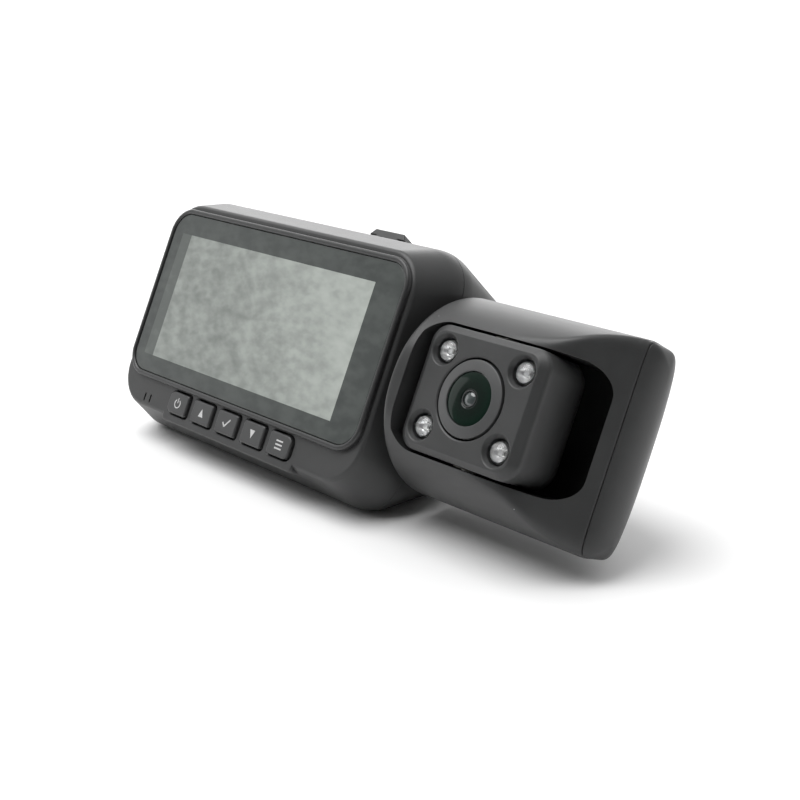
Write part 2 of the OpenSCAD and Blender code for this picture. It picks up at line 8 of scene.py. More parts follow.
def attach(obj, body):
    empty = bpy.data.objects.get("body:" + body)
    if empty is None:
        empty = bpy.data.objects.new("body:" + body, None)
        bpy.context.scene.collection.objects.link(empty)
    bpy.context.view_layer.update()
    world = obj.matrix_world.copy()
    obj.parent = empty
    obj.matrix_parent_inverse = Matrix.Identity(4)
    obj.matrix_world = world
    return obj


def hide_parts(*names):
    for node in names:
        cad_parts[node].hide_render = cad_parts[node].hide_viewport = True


# Dash camera. Shapes are drawn upright in millimetres, x along the body, y back from the front of
# the cover glass, z up, and put_down() then leans each one back onto the body's flat underside.

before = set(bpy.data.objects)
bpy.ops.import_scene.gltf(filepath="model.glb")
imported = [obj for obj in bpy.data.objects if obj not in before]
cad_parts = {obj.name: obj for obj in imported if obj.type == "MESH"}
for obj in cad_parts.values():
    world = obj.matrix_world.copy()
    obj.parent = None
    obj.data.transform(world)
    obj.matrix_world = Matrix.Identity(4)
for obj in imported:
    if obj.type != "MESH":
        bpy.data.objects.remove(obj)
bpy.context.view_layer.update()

MM = 0.001
LEAN = math.radians(25.6)
FOOT = Vector((2.4, 22.6, -27.1674))
REST = Matrix.Scale(MM, 4) @ Matrix.Rotation(-LEAN, 4, "X") @ Matrix.Translation(-FOOT)

# Screen body
MID_X = 2.4
FACE_Y, CREST_Y, BACK_Y = 0.8, 12.2, 32.0
TOP_SLOPE = math.radians(19.4)
HALF_W = (42.9, 46.2, 44.4)
LOW = (-27.35, -32.15, -32.15 + (BACK_Y - CREST_Y) * math.tan(LEAN))
HIGH = (22.95, 27.15, 27.15 - (BACK_Y - CREST_Y) * math.tan(TOP_SLOPE))
CORNER = (8.6, 9.5, 6.3)
WALL = 1.8
GLASS = (MID_X - 40.75, MID_X + 40.75, -19.4, 20.3)
GLASS_CORNER = 5.0
PICTURE = (34.8, 15.3)
POSTS = ((-34, 13), (-34, -16.5), (39, 13), (39, -16.5))
ROAD_X = -16.0
# Side openings: depth, height, half height, half depth
CARD_MOUTH = (14.25, -6.6, 5.8, 0.65)
INLET_MOUTH = (14.85, 5.4, 4.8, 1.9)
# Rows of slots in the back: count, first x, low, high
SPEAKER_SLOTS = (5, 22.4, -3.5, 9.5)
VENT_SLOTS = (6, 2.0, -13, -5)
SLOT_PITCH, SLOT_W = 2.8, 1.2
# Boss round the tilt hub, the notch in front of it, and its bore
BOSS_R, NOTCH_R, BORE_R = 9.1, 9.2, 6.05

# Buttons
BUTTON_X, BUTTON_Z, PITCH = 2.9, -24.0, 9.5
BUTTON_W, BUTTON_H, BUTTON_Y = 7.3, 5.2, 0.1
KEYS = ("power", "up", "select", "down", "menu")

# Barrel
TILT_Y, TILT_Z, BARREL_R = 17.8, -2.3, 21.5
BARREL_X, SEAM_X = 50.3, 94.5
NOSE_R, NOSE_TURN, NOSE_END = 8.5, -45.0, 24.0
EDGE_RUN, EDGE_DROP = 3.4, 5.0

# Pocket that the head turns in
POCKET_LEFT, POCKET_RIGHT, POCKET_HALF, POCKET_BACK = 53.2, 92.4, 13.5, 23.5

# Camera head
PAN_X, PAN_Y, HEAD_Z = 69.8, 6.0, -2.0
DRUM_R, DRUM_EDGE, HEAD_W, HEAD_H, HEAD_Y = 16.2, 2.4, 15.5, 12.9, -0.5
LAMP_X, LAMP_Z, LAMP_R = 10.0, 7.8, 2.5
RING_R, EYE_R = 7.8, 5.4


# ---------------------------------------------------------------- materials

class Flow:
    """A value in a node tree. Sums and products of flows add their Math nodes."""

    def __init__(self, tree, socket=None):
        self.tree = tree
        self.socket = socket

    def node(self, kind, settings=None, inputs=None, out=0):
        made = self.tree.nodes.new(kind)
        for key, value in (settings or {}).items():
            if key == "stops":
                ramp = made.color_ramp
                while len(ramp.elements) < len(value):
                    ramp.elements.new(0.5)
                for stop, (place, colour) in zip(ramp.elements, value):
                    stop.position = place
                    stop.color = colour
            else:
                setattr(made, key, value)
        for key, value in (inputs or {}).items():
            if isinstance(value, Flow):
                self.tree.links.new(value.socket, made.inputs[key])
            else:
                made.inputs[key].default_value = value
        return Flow(self.tree, made.outputs[out])

    def sum(self, operation, *others, swap=False):
        values = (self, *others)
        if swap:
            values = tuple(reversed(values))
        return self.node("ShaderNodeMath", {"operation": operation}, dict(enumerate(values)))

    def __add__(self, other):
        return self.sum("ADD", other)

    __radd__ = __add__

    def __sub__(self, other):
        return self.sum("SUBTRACT", other)

    def __rsub__(self, other):
        return self.sum("SUBTRACT", other, swap=True)

    def __mul__(self, other):
        return self.sum("MULTIPLY", other)

    __rmul__ = __mul__

    def __lt__(self, other):
        return self.sum("LESS_THAN", other)

    def __gt__(self, other):
        return self.sum("GREATER_THAN", other)

    def __abs__(self):
        return self.sum("ABSOLUTE")

    def noise(self, scale, detail=2.0, rough=0.5, out=0):
        return self.node(
            "ShaderNodeTexNoise", None,
            {"Vector": self, "Scale": scale, "Detail": detail, "Roughness": rough}, out,
        )

    def cells(self, scale, out=0, metric="EUCLIDEAN"):
        return self.node(
            "ShaderNodeTexVoronoi", {"distance": metric}, {"Vector": self, "Scale": scale}, out,
        )

    def stretched(self, scale, turn=(0, 0, 0)):
        return self.node(
            "ShaderNodeMapping", None, {"Vector": self, "Scale": scale, "Rotation": turn},
        )

    def between(self, low, high, to_low=0.0, to_high=1.0):
        return self.node(
            "ShaderNodeMapRange", {"interpolation_type": "SMOOTHSTEP"},
            {0: self, 1: low, 2: high, 3: to_low, 4: to_high},
        )

    def blend(self, first, second):
        """Colour between first and second, by this flow."""
        return self.node(
            "ShaderNodeMix", {"data_type": "RGBA"}, {0: self, 6: first, 7: second}, 2,
        )

    def bump(self, depth_mm, strength=1.0):
        return self.node(
            "ShaderNodeBump", None,
            {"Strength": strength, "Distance": depth_mm * MM, "Height": self},
        )

    def xyz(self):
        parts = self.tree.nodes.new("ShaderNodeSeparateXYZ")
        self.tree.links.new(self.socket, parts.inputs[0])
        return [Flow(self.tree, o) for o in parts.outputs]


def rgb(grey, tint=(1, 1, 1)):
    return (*(grey * t for t in tint), 1.0)


def material(name, paint, **fixed):
    """A material: paint(place) gives its varying sockets, fixed its constant ones."""
    made = bpy.data.materials.new(name)
    made.use_nodes = True
    tree = made.node_tree
    shader = tree.nodes["Principled BSDF"]
    for key, value in fixed.items():
        shader.inputs[key.replace("_", " ")].default_value = value
    coordinates = Flow(tree).node("ShaderNodeTexCoord", out=3)
    place = coordinates.node(
        "ShaderNodeMapping", None,
        {"Vector": coordinates, "Location": FOOT, "Rotation": (LEAN, 0, 0), "Scale": [1000] * 3},
    )
    for key, value in paint(place).items():
        tree.links.new(value.socket, shader.inputs[key])
    return made


def moulded(grey, tint, rough, grain, depth, dust=0.0):
    """Spark-textured plastic: fine grain, faint cloudy wear, and a few specks of dust."""
    def paint(place):
        grains = place.noise(grain, 2.0, 0.6)
        clouds = place.noise(0.09, 3.0, 0.55)
        wear = place.stretched((0.3, 1.4, 0.6), (0.4, 0.3, 0.6)).noise(0.5, 4.0, 0.7)
        colour = (clouds * 0.6 + grains * 0.4).between(0.3, 0.7).blend(
            rgb(grey * 0.86, tint), rgb(grey * 1.16, tint))
        if dust:
            speck = (place.cells(0.22) < 0.022) * (place.cells(0.22, 1).xyz()[0] > 1.0 - dust)
            colour = speck.blend(colour, rgb(0.5))
        return {
            "Base Color": colour,
            "Roughness": rough - 0.05 + grains * 0.06 + wear * 0.07,
            "Normal": grains.bump(depth, 0.55),
        }
    return paint


def brushed(grey, tint, rough, run=(0.15, 3.0, 3.0)):
    def paint(place):
        lines = place.stretched(run).noise(2.2, 3.0, 0.6)
        stain = place.noise(0.15, 3.0)
        return {
            "Base Color": (lines * 0.5 + stain * 0.5).between(0.3, 0.7).blend(
                rgb(grey * 0.82, tint), rgb(grey * 1.08, tint)),
            "Roughness": rough + lines * 0.16,
            "Normal": lines.bump(0.01, 0.4),
        }
    return paint


def solder_mask(place):
    """Green board: copper lines under the mask, bright pads and a drilled pattern."""
    lines = place.cells(0.55, 0, "MANHATTAN").between(0.34, 0.42)
    pads = place.cells(0.8) < 0.16
    holes = place.cells(0.31) < 0.06
    green = lines.blend((0.012, 0.085, 0.04, 1), (0.03, 0.16, 0.075, 1))
    tinned = pads.blend(green, (0.55, 0.53, 0.46, 1))
    return {
        "Base Color": holes.blend(tinned, (0.01, 0.01, 0.01, 1)),
        "Roughness": 0.42 - pads * 0.15 + place.noise(3.0) * 0.08,
        "Metallic": pads * 0.8,
        "Normal": (lines * 0.5 + pads * 0.5).bump(0.04, 0.6),
    }


def chip_top(place):
    grains = place.noise(9.0, 2.0)
    return {
        "Base Color": grains.between(0.35, 0.65).blend(rgb(0.018), rgb(0.03)),
        "Roughness": 0.55 + grains * 0.12,
        "Normal": grains.bump(0.02, 0.5),
    }


def sleeve(place):
    _, y, z = place.xyz()
    shrink = place.stretched((0.4, 2.0, 2.0)).noise(0.9, 3.0)
    band = (y + z * 0.6) > 11.5
    return {
        "Base Color": band.blend((0.012, 0.022, 0.1, 1), (0.35, 0.36, 0.37, 1)),
        "Roughness": 0.24 + shrink * 0.16,
        "Normal": shrink.bump(0.12, 0.4),
    }


def screen(place):
    """Dark printed border around the picture area. The picture area's grey-green is a painted
    reflection of a blotchy ceiling, with a painted highlight sweeping lighter to the upper right
    and a painted shade strip down its left edge; the border carries the same painted reflection
    faintly.
    """
    x, _, z = place.xyz()
    inside = (abs(x) < PICTURE[0]) * (abs(z) < PICTURE[1])
    # Painted shade: a darker strip down the left edge of the picture area.
    painted_shade_strip = (x < 3.6 - PICTURE[0]) * 0.55
    # Painted reflection of a blotchy ceiling, in a coarse and a fine size; both also give a faint
    # bump.
    reflection_mottle = place.stretched((1.0, 0.0, 1.7), (0, 0.5, 0)).noise(0.13, 3.0, 0.5)
    fine = place.stretched((1.0, 0.0, 1.6), (0, 0.5, 0)).noise(0.32, 2.0, 0.45)
    # Painted highlight: the picture area grows lighter towards the upper right.
    highlight_sweep = (x * 0.9 + z * 0.5).between(-15, 45, 0.0, 0.4)
    # Painted light of the picture area: the painted reflection, the painted highlight and a
    # constant base.
    painted_light = reflection_mottle.between(0.3, 0.7) * 0.2 + fine.between(0.26, 0.74) * 0.2 + highlight_sweep + 0.1
    # The painted shade strip is taken off, and the painted light becomes the picture area's
    # grey-green.
    picture = (painted_light - painted_shade_strip).between(-0.3, 1.0).blend(
        (0.07, 0.08, 0.074, 1), (0.4, 0.43, 0.4, 1))
    # Printed dark border, faintly blotched by the same painted reflection.
    border = (reflection_mottle * 0.6 + fine * 0.4).between(0.36, 0.64).blend(
        (0.028, 0.034, 0.032, 1), (0.05, 0.058, 0.054, 1))
    colour = inside.blend(border, picture)
    speck = (place.cells(0.16) < 0.014) * (place.cells(0.16, 1).xyz()[0] > 0.65)
    return {
        "Base Color": speck.blend(colour, rgb(0.6)),
        "Roughness": 0.26 + fine * 0.1,
        "Normal": (reflection_mottle * 0.7 + fine * 0.3).bump(0.03, 0.12),
    }


def eye_glass(place):
    x, _, z = place.xyz()
    across = ((x - PAN_X) * (x - PAN_X) + (z - HEAD_Z) * (z - HEAD_Z)).sum("SQRT")
    # Painted shade: the lens cover is darker towards its centre, over the deep lens behind the
    # glass.
    depth = across.between(2.0, 5.4)
    stain = place.noise(1.2, 3.0)
    return {
        "Base Color": (depth * 0.8 + stain * 0.2).blend(
            (0.002, 0.006, 0.004, 1), (0.002, 0.012, 0.007, 1)),
        "Roughness": 0.04 + stain * 0.05,
    }


def coated(place):
    x, _, z = place.xyz()
    # Painted sheen: the coating's colour swings in bands across the surface, as its reflection does
    # when it tilts.
    tilt = (x * 0.5 + z * 0.8).sum("SINE")
    return {
        "Base Color": tilt.between(-1, 1).blend((0.01, 0.03, 0.025, 1), (0.05, 0.06, 0.06, 1)),
        "Roughness": 0.05 + place.noise(2.0) * 0.04,
    }


def epoxy(place):
    swirl = place.noise(0.9, 3.0, 0.6)
    return {
        "Base Color": swirl.between(0.3, 0.7).blend((0.9, 0.93, 0.95, 1), (1, 1, 1, 1)),
        "Roughness": 0.015 + swirl * 0.03,
        "Normal": swirl.bump(0.05, 0.25),
    }


def mirror_cup(place):
    dents = place.cells(1.3)
    return {
        "Base Color": dents.between(0.1, 0.6).blend((0.97, 0.97, 0.95, 1), (0.8, 0.8, 0.8, 1)),
        "Roughness": 0.1 + dents * 0.15,
    }


def printed(place):
    grains = place.noise(7.0, 2.0)
    return {
        "Base Color": grains.between(0.2, 0.7).blend(rgb(0.42), rgb(0.6)),
        "Roughness": 0.5 + grains * 0.15,
    }


def film(place):
    cloud = place.noise(0.4, 2.0)
    return {
        "Base Color": cloud.between(0.3, 0.7).blend(rgb(0.78), rgb(0.88)),
        "Roughness": 0.4 + cloud * 0.1,
    }


COOL = (0.98, 1.0, 1.01)
HOUSING = material("charcoal shell", moulded(0.032, COOL, 0.42, 6.5, 0.022, 0.5),
                   Specular_IOR_Level=0.5)
SATIN = material("satin bead", moulded(0.026, COOL, 0.34, 9.0, 0.008))
HEAD = material("head grey", moulded(0.034, COOL, 0.44, 7.5, 0.016, 0.3))
KEY = material("key satin", moulded(0.044, COOL, 0.42, 9.0, 0.01))
RING = material("lens ring grey", moulded(0.06, COOL, 0.38, 8.0, 0.01))
INNER = material("black nylon", moulded(0.012, COOL, 0.55, 5.0, 0.02))
GLOSS = material("piano black", moulded(0.012, COOL, 0.16, 12.0, 0.002), Coat_Weight=0.6)
CARD = material("card shell", moulded(0.02, COOL, 0.4, 9.0, 0.01))
WASHER = material("natural nylon", moulded(0.6, (1, 0.98, 0.9), 0.4, 5.0, 0.01))
STEEL = material("nickel plate", brushed(0.62, (1, 0.99, 0.97), 0.24), Metallic=1.0)
ALLOY = material("extruded alloy", brushed(0.66, (1, 1, 1.02), 0.32, (3.0, 3.0, 0.15)),
                 Metallic=1.0)
BOARD = material("solder mask", solder_mask)
CHIP = material("moulded package", chip_top)
SLEEVE = material("shrink sleeve", sleeve)
SCREEN = material("screen glass with painted reflection", screen)
EYE = material("lens cover", eye_glass, Specular_IOR_Level=0.3)
COATED = material("coated lens", coated, Coat_Weight=1.0, Coat_Roughness=0.02)
EPOXY = material("clear epoxy", epoxy, Transmission_Weight=1.0, IOR=1.5)
CUP = material("lamp reflector", mirror_cup, Metallic=0.55)
INK = material("white print", printed)
FILM = material("white film", film)


# ---------------------------------------------------------------- shapes

def new_piece(name, bm, look):
    bmesh.ops.recalc_face_normals(bm, faces=bm.faces[:])
    mesh = bpy.data.meshes.new(name)
    bm.to_mesh(mesh)
    bm.free()
    mesh.materials.append(look)
    piece = bpy.data.objects.new(name, mesh)
    bpy.context.scene.collection.objects.link(piece)
    return piece


def add_loft(bm, rings, closed=False):
    rows = [[bm.verts.new(p) for p in ring] for ring in rings]
    pairs = list(zip(rows, rows[1:])) + ([(rows[-1], rows[0])] if closed else [])
    count = len(rows[0])
    for a, b in pairs:
        for i in range(count):
            j = (i + 1) % count
            bm.faces.new((a[i], a[j], b[j], b[i]))
    if not closed:
        bm.faces.new(rows[0])
        bm.faces.new(rows[-1])


def loft(name, rings, look, closed=False):
    bm = bmesh.new()
    add_loft(bm, rings, closed)
    return new_piece(name, bm, look)


def outline(left, right, low, high, corners, steps=12):
    """Rounded rectangle as (x, z) points; corners: radius, or four, from top right round."""
    radii = corners if isinstance(corners, (tuple, list)) else [corners] * 4
    points = []
    for turn, r in enumerate(radii):
        cx = right - r if turn in (0, 3) else left + r
        cz = high - r if turn < 2 else low + r
        for i in range(steps + 1):
            a = math.pi / 2 * (turn + i / steps)
            points.append((cx + r * math.cos(a), cz + r * math.sin(a)))
    return points


def at(points, y):
    return [(x, y, z) for x, z in points]


def slab(name, box, corners, layers, look):
    """Plate that faces the front. layers: (y, inset) pairs."""
    left, right, low, high = box
    radii = corners if isinstance(corners, (tuple, list)) else [corners] * 4
    rings = [
        at(outline(left + t, right - t, low + t, high - t, [max(r - t, 0.05) for r in radii]), y)
        for y, t in layers
    ]
    return loft(name, rings, look)


def rounded_front(front, back, r, steps=5):
    """Layers of a plate whose front edge is rounded."""
    arc = [math.pi / 2 * i / steps for i in range(steps + 1)]
    layers = [(front + r * (1 - math.sin(a)), r * (1 - math.cos(a))) for a in reversed(arc)]
    return layers + [(back, 0.0)]


def lathe(name, profile, x, z, look, steps=64):
    """Round piece about a line along the depth. profile: (radius, y) pairs."""
    bm = bmesh.new()
    rows = []
    for r, y in profile:
        if r < 1e-6:
            rows.append([bm.verts.new((x, y, z))])
            continue
        rows.append([
            bm.verts.new((x + r * math.cos(a), y, z + r * math.sin(a)))
            for a in (2 * math.pi * i / steps for i in range(steps))
        ])
    for a, b in zip(rows, rows[1:]):
        for i in range(steps):
            j = (i + 1) % steps
            around = [a[i], a[j % len(a)], b[j % len(b)], b[i % len(b)]] if len(a) > 1 else \
                [a[0], b[j], b[i]]
            corners = list(dict.fromkeys(around))
            if len(corners) > 2:
                bm.faces.new(corners)
    for row in (rows[0], rows[-1]):
        if len(row) > 1:
            bm.faces.new(row)
    return new_piece(name, bm, look)


def along_x(name, r, start, end, look, y=TILT_Y, z=TILT_Z, steps=64):
    ring = [(r * math.cos(a), r * math.sin(a)) for a in
            (2 * math.pi * i / steps for i in range(steps))]
    return loft(name, [[(x, y + c, z + s) for c, s in ring] for x in (start, end)], look)


def prism(name, plan, low, high, look):
    """Upright prism on an (x, y) plan."""
    return loft(name, [[(x, y, z) for x, y in plan] for z in (low, high)], look)


def settle(piece):
    """Replaces a piece's mesh by what its modifiers make of it."""
    graph = bpy.context.evaluated_depsgraph_get()
    mesh = bpy.data.meshes.new_from_object(piece.evaluated_get(graph))
    piece.modifiers.clear()
    piece.data = mesh


def carve(piece, tools, how="DIFFERENCE"):
    for tool in tools:
        step = piece.modifiers.new("carve", "BOOLEAN")
        step.operation = how
        step.solver = "EXACT"
        step.object = tool
    settle(piece)
    for tool in tools:
        bpy.data.objects.remove(tool)


def soften(piece, width, angle=38.0, segments=2):
    bevel = piece.modifiers.new("edge", "BEVEL")
    bevel.width = width
    bevel.segments = segments
    bevel.limit_method = "ANGLE"
    bevel.angle_limit = math.radians(angle)
    bevel.use_clamp_overlap = True
    settle(piece)


def put_down(piece, sharp=32.0):
    """Smooth shading up to an angle, then the camera's place on the ground."""
    mesh = piece.data
    bm = bmesh.new()
    bm.from_mesh(mesh)
    bmesh.ops.remove_doubles(bm, verts=bm.verts[:], dist=1e-5)
    for face in bm.faces:
        face.smooth = True
    for edge in bm.edges:
        flat = edge.is_manifold and edge.calc_face_angle(0) < math.radians(sharp)
        edge.smooth = flat
    bm.to_mesh(mesh)
    bm.free()
    normals = piece.modifiers.new("even", "WEIGHTED_NORMAL")
    normals.keep_sharp = True
    settle(piece)
    piece.data.transform(REST)
    return piece


def show(piece, body, nodes=()):
    put_down(piece)
    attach(piece, body)
    if nodes:
        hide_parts(*nodes)
    return piece


def merged(name, pieces):
    """Several pieces as one object that keeps each one's material."""
    bm = bmesh.new()
    looks = []
    for piece in pieces:
        look = piece.data.materials[0]
        if look not in looks:
            looks.append(look)
        first = len(bm.faces)
        bm.from_mesh(piece.data)
        bm.faces.ensure_lookup_table()
        for face in bm.faces[first:]:
            face.material_index = looks.index(look)
        bpy.data.objects.remove(piece)
    mesh = bpy.data.meshes.new(name)
    bm.to_mesh(mesh)
    bm.free()
    for look in looks:
        mesh.materials.append(look)
    whole = bpy.data.objects.new(name, mesh)
    bpy.context.scene.collection.objects.link(whole)
    return whole


# ---------------------------------------------------------------- repeats

def spread_tree():
    """Geometry Nodes: a part set on the corners of a grid."""
    tree = bpy.data.node_groups.new("spread", "GeometryNodeTree")
    sockets = {
        "Part": "NodeSocketObject", "Across": "NodeSocketInt", "Up": "NodeSocketInt",
        "Width": "NodeSocketFloat", "Height": "NodeSocketFloat", "Look": "NodeSocketMaterial",
    }
    names = {
        label: tree.interface.new_socket(label, in_out="INPUT", socket_type=kind).identifier
        for label, kind in sockets.items()
    }
    tree.interface.new_socket("Geometry", in_out="OUTPUT", socket_type="NodeSocketGeometry")
    add, link = tree.nodes.new, tree.links.new
    given, result = add("NodeGroupInput"), add("NodeGroupOutput")
    grid, part = add("GeometryNodeMeshGrid"), add("GeometryNodeObjectInfo")
    scatter, real = add("GeometryNodeInstanceOnPoints"), add("GeometryNodeRealizeInstances")
    paint = add("GeometryNodeSetMaterial")
    link(given.outputs["Width"], grid.inputs["Size X"])
    link(given.outputs["Height"], grid.inputs["Size Y"])
    link(given.outputs["Across"], grid.inputs["Vertices X"])
    link(given.outputs["Up"], grid.inputs["Vertices Y"])
    link(given.outputs["Part"], part.inputs["Object"])
    link(grid.outputs["Mesh"], scatter.inputs["Points"])
    link(part.outputs["Geometry"], scatter.inputs["Instance"])
    link(scatter.outputs["Instances"], real.inputs["Geometry"])
    link(real.outputs["Geometry"], paint.inputs["Geometry"])
    link(given.outputs["Look"], paint.inputs["Material"])
    link(paint.outputs["Geometry"], result.inputs["Geometry"])
    return tree, names


SPREAD, SPREAD_NAMES = spread_tree()


def spread(name, part, across, up, width, height, centre):
    """Copies of a part, drawn about 0, 0 with its own depth, on a grid that faces the front."""
    look = part.data.materials[0]
    part.data.transform(Matrix.Rotation(-math.pi / 2, 4, "X"))
    holder = bpy.data.objects.new(name, bpy.data.meshes.new(name))
    bpy.context.scene.collection.objects.link(holder)
    step = holder.modifiers.new("spread", "NODES")
    step.node_group = SPREAD
    values = {
        "Part": part, "Across": across, "Up": up, "Width": width, "Height": height, "Look": look,
    }
    for label, value in values.items():
        step[SPREAD_NAMES[label]] = value
    settle(holder)
    x, y, z = centre
    turn = Matrix.Rotation(math.pi / 2, 4, "X")
    holder.data.transform(Matrix.Translation((x, y, z)) @ turn)
    bpy.data.objects.remove(part)
    return holder


# ---------------------------------------------------------------- screen body

def trend(y, values):
    """Line through three values at the face, the crest and the back, rounded at the crest."""
    reach = max(0.0, min(3.0, y - FACE_Y, BACK_Y - y))
    total = 0.0
    for i in range(-4, 5):
        place = min(max(y + reach * i / 4, FACE_Y), BACK_Y)
        if place < CREST_Y:
            share = (place - FACE_Y) / (CREST_Y - FACE_Y)
            total += values[0] + (values[1] - values[0]) * share
        else:
            share = (place - CREST_Y) / (BACK_Y - CREST_Y)
            total += values[1] + (values[2] - values[1]) * share
    return total / 9


def edge_inset(gap, r):
    if gap >= r:
        return 0.0
    return r * (1 - math.sqrt(max(0.0, 1 - (1 - gap / r) ** 2)))


def body_ring(y, inset):
    half = trend(y, HALF_W)
    low, high, r = trend(y, LOW), trend(y, HIGH), trend(y, CORNER)
    box = (MID_X - half + inset, MID_X + half - inset, low + inset, high - inset)
    return at(outline(*box, max(r - inset, 1.0), 16), y)


def body_shell(name, start, end, look, front_round=0.0, back_round=0.0, inset=0.0):
    stops = {start, end}
    for i in range(1, 7):
        share = 1 - math.cos(math.pi / 2 * i / 6)
        stops.add(start + front_round * share)
        stops.add(end - back_round * share)
    stops.update(y for y in (3, 5, 7, 9, 9.8, 10.6, 11.4, 12.2, 13, 13.8, 14.6, 15.4, 18, 22, 27)
                 if start + front_round < y < end - back_round)
    rings = []
    for y in sorted(stops):
        t = inset
        if front_round:
            t += edge_inset(y - start, front_round)
        if back_round:
            t += edge_inset(end - y, back_round)
        rings.append(body_ring(y, t))
    return loft(name, rings, look)


def slope_block(depth_under):
    """Block that fills everything lower than depth_under beneath the sloping top."""
    start = CREST_Y + 3
    top = HIGH[1] - (start - CREST_Y) * math.tan(TOP_SLOPE)
    block = prism("block", [(-60, -40), (60, -40), (60, 80), (-60, 80)], -80 - depth_under,
                  -depth_under, INNER)
    block.data.transform(
        Matrix.Translation((0, start, top)) @ Matrix.Rotation(-TOP_SLOPE, 4, "X"))
    return block


def button_box(i, grow=0.0):
    x = BUTTON_X + (i - 2) * PITCH
    return (x - BUTTON_W / 2 - grow, x + BUTTON_W / 2 + grow,
            BUTTON_Z - BUTTON_H / 2 - grow, BUTTON_Z + BUTTON_H / 2 + grow)


def key_corners(i, grow=0.0):
    small, large = 0.6 + grow, 1.7 + grow
    if i == 0:
        return (small, large, large, small)
    if i == 4:
        return (large, small, small, large)
    return (small,) * 4


def make_front():
    front = body_shell("shell_front", FACE_Y, CREST_Y - 0.04, HOUSING, 0.7, 0.12)
    island = slab("island", (-21.5, 27.3, -28.8, -24.5), 1.2,
                  rounded_front(FACE_Y, 4.5, 0.5), HOUSING)
    carve(front, [island], "UNION")
    left, right, low, high = GLASS
    tools = [
        slab("cutter", (left - 0.1, right + 0.1, low - 0.1, high + 0.1), GLASS_CORNER + 0.1,
             [(-2, 0), (1.5, 0)], HOUSING),
        slab("cutter", (-36.8, 36.8, -17.3, 17.3), 1, [(0, 0), (4, 0)], HOUSING),
        body_shell("cutter", FACE_Y + 2.2, CREST_Y + 1, HOUSING, inset=WALL),
        along_x("cutter", NOTCH_R, 42.3, 50.2, HOUSING),
    ]
    for i in range(5):
        flare = [(-1, 0.0), (FACE_Y + 0.05, 0.0), (FACE_Y + 0.3, 0.22), (4, 0.22)]
        tools.append(slab("cutter", button_box(i, 0.52), key_corners(i, 0.52), flare, HOUSING))
    for x in (-30, -27.8):
        slit = (x - 0.25, x + 0.25, -26.4, -24.4)
        tools.append(slab("cutter", slit, 0.2, [(0, 0), (4, 0)], HOUSING))
    carve(front, tools)
    show(front, "body", ["front_housing"])


def make_rear():
    rear = body_shell("shell_rear", CREST_Y + 0.04, BACK_Y, HOUSING, 0.12, 2.0)
    carve(rear, [body_shell("cutter", CREST_Y - 1, BACK_Y - WALL, HOUSING, inset=WALL)])
    carve(rear, [along_x("boss", BOSS_R, 43.3, 49.2, HOUSING)], "UNION")
    opening = prism("cutter", [(-60, CREST_Y + 3), (60, CREST_Y + 3), (60, 60), (-60, 60)], -50, 60,
                    HOUSING)
    carve(opening, [slope_block(1.9)])
    tools = [
        opening,
        along_x("cutter", BORE_R, 42, 51, HOUSING),
        lathe("cutter", [(8.5, 27), (8.5, 34)], ROAD_X, 0, HOUSING),
    ]
    screw_hole = [(2.1, 28), (2.1, 31.5), (2.5, 32.2), (2.5, 34)]
    for x, z in POSTS:
        tools.append(lathe("cutter", screw_hole, x, z, HOUSING, 32))
    for y, z, half_z, half_y in (CARD_MOUTH, INLET_MOUTH):
        layers = [(y - half_y, 0), (y + half_y, 0)]
        tools.append(slab("cutter", (-50, -38, z - half_z, z + half_z), 0.3, layers, HOUSING))
    for count, first, low, high in (SPEAKER_SLOTS, VENT_SLOTS):
        for i in range(count):
            x = first + i * SLOT_PITCH
            box = (x - SLOT_W / 2, x + SLOT_W / 2, low, high)
            tools.append(slab("cutter", box, SLOT_W / 2 - 0.01, [(28, 0), (34, 0)], HOUSING))
    carve(rear, tools)
    show(rear, "body", ["rear_housing"])

    cover = body_shell("slope_cover", CREST_Y - 2, BACK_Y, HOUSING, 0.0, 2.0)
    carve(cover, [slope_block(1.8)])
    ahead = CREST_Y + 3.08
    plan = [(-60, -5), (60, -5), (60, ahead), (-60, ahead)]
    carve(cover, [prism("cutter", plan, -50, 60, HOUSING)])
    show(cover, "body", ["top_cover"])


def make_rail():
    start = CREST_Y + 3.3
    top = HIGH[1] - (start - CREST_Y) * math.tan(TOP_SLOPE)
    profile = [(-3.5, 0), (3.5, 0), (3.5, 1.5), (5.8, 1.5), (4.7, 3.2), (-4.7, 3.2), (-5.8, 1.5),
               (-3.5, 1.5)]
    rail = loft("slide_rail", [[(x, y, z) for x, z in profile] for y in (0, 13)], HOUSING)
    soften(rail, 0.3, 30, 3)
    rail.data.transform(
        Matrix.Translation((17, start, top)) @ Matrix.Rotation(-TOP_SLOPE, 4, "X"))
    show(rail, "body", ["mount_rail"])


def make_screen():
    left, right, low, high = GLASS
    section = [(0.0, 0.8), (0.0, -0.1), (0.12, -0.28), (0.32, -0.38), (0.6, -0.4), (0.9, -0.34),
               (1.1, -0.16), (1.2, 0.1), (1.2, 0.8)]
    rings = [
        at(outline(left - 0.1 - t, right + 0.1 + t, low - 0.1 - t, high + 0.1 + t,
                   GLASS_CORNER + 0.1 + t, 16), y)
        for t, y in section
    ]
    show(loft("screen_bead", rings, SATIN, closed=True), "body", ["screen_bezel"])
    glass = slab("screen_cover", GLASS, GLASS_CORNER, rounded_front(0.0, 1.4, 0.18, 3), SCREEN)
    show(glass, "body", ["cover_glass"])


# ---------------------------------------------------------------- buttons

